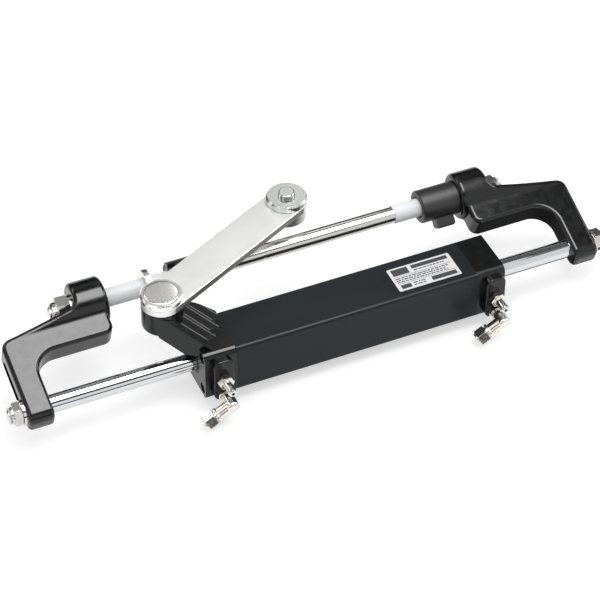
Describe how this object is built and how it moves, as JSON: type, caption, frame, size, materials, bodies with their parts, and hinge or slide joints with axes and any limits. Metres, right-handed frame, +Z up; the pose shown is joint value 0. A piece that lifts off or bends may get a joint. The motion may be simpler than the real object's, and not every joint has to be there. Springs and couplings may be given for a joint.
{
  "type": "hydraulic steering cylinder",
  "caption": "Balanced hydraulic cylinder for steering an outboard engine: the barrel slides on a fixed rod between two arms on a tilt-tube rod, with a link from its lug to the tiller",
  "frame": {"origin": "middle of the support rod's axis, halfway between the two arms", "axes": "+X runs along both rods towards the right arm, +Y points to the engine, away from the cylinder, +Z up"},
  "size_m": [0.554, 0.1643, 0.1061],
  "materials": {
    "arm_casting": "gloss black enamel on cast aluminium",
    "head_casting": "gloss black enamel on cast aluminium",
    "anodised": "satin dark grey anodised extrusion",
    "hard_chrome": "polished hard chrome",
    "polished_rod": "polished stainless steel",
    "piston_alloy": "turned aluminium",
    "seal_rubber": "black nitrile rubber",
    "scraper": "black polyurethane",
    "bush_bronze": "bearing bronze",
    "link_bush": "bearing plastic",
    "spring_steel": "spring steel",
    "screw_steel": "blackened stainless socket screws",
    "fastener_steel": "stainless steel",
    "nylon": "white nylon",
    "ring_steel": "stainless steel",
    "lock_nut_black": "matte black anodised",
    "moulded_black": "matte black plastic",
    "nickel": "bright nickel plate on brass",
    "olive_brass": "plain brass",
    "link_steel": "light satin stainless plate",
    "cap_steel": "polished stainless steel",
    "spacer_steel": "satin stainless steel"
  },
  "bodies": {
    "frame": {"support_rod": "polished_rod", "left_arm": "arm_casting", "right_arm": "arm_casting", "piston_rod": "hard_chrome", "piston": "piston_alloy", "piston_seal": "seal_rubber", "piston_clips": "spring_steel", "rod_washer_left": "fastener_steel", "rod_washer_right": "fastener_steel", "tube_washer_left": "fastener_steel", "tube_washer_right": "fastener_steel", "rod_nut_left": "fastener_steel", "rod_nut_right": "fastener_steel", "tube_nut_left": "fastener_steel", "tube_nut_right": "fastener_steel", "sleeve_left": "nylon", "sleeve_right": "nylon", "thrust_ring": "ring_steel", "lock_nut": "lock_nut_black", "adjusting_nut": "moulded_black", "adjusting_screw": "screw_steel"},
    "glands": {"gland_bush_left": "bush_bronze", "gland_bush_right": "bush_bronze", "rod_seal_left": "seal_rubber", "rod_seal_right": "seal_rubber", "wiper_left": "scraper", "wiper_right": "scraper"},
    "cylinder": {"barrel": "anodised", "left_head": "head_casting", "right_head": "head_casting", "head_screws_left": "screw_steel", "head_screws_right": "screw_steel", "spigot_ring_left": "seal_rubber", "spigot_ring_right": "seal_rubber", "elbow_left": "nickel", "elbow_right": "nickel", "hose_nut_left": "nickel", "hose_nut_right": "nickel", "olive_left": "olive_brass", "olive_right": "olive_brass", "pivot_bolt": "cap_steel"},
    "link": {"link_arm": "link_steel", "link_bush_lug": "link_bush", "link_bush_tiller": "link_bush"},
    "tiller": {"tiller_bolt": "cap_steel", "tiller_bush": "spacer_steel"},
    "bleed_left": {"bleed_screw_left": "nickel"},
    "bleed_right": {"bleed_screw_right": "nickel"}
  },
  "joints": [
    {"name": "cylinder_slide", "type": "slide", "parent": "frame", "child": "glands", "axis": [1, 0, 0], "range_m": [-0.124, 0.07]},
    {"name": "cylinder_roll", "type": "hinge", "parent": "glands", "child": "cylinder", "pos_m": [0, -0.07424, -0.02702], "axis": [1, 0, 0], "range_deg": [0, 100]},
    {"name": "link_swing", "type": "hinge", "parent": "cylinder", "child": "link", "pos_m": [-0.13105, -0.05284, 0.0305], "axis": [0, 0, 1], "range_deg": [-90, 90]},
    {"name": "tiller_swivel", "type": "hinge", "parent": "link", "child": "tiller", "pos_m": [0.01246, 0.01903, 0.0305], "axis": [0, 0, 1], "continuous": true},
    {"name": "bleed_left", "type": "hinge", "parent": "cylinder", "child": "bleed_left", "pos_m": [-0.09765, -0.10524, -0.02702], "axis": [0, -1, 0], "range_deg": [0, 180]},
    {"name": "bleed_right", "type": "hinge", "parent": "cylinder", "child": "bleed_right", "pos_m": [0.15475, -0.10524, -0.02702], "axis": [0, -1, 0], "range_deg": [0, 180]}
  ]
}
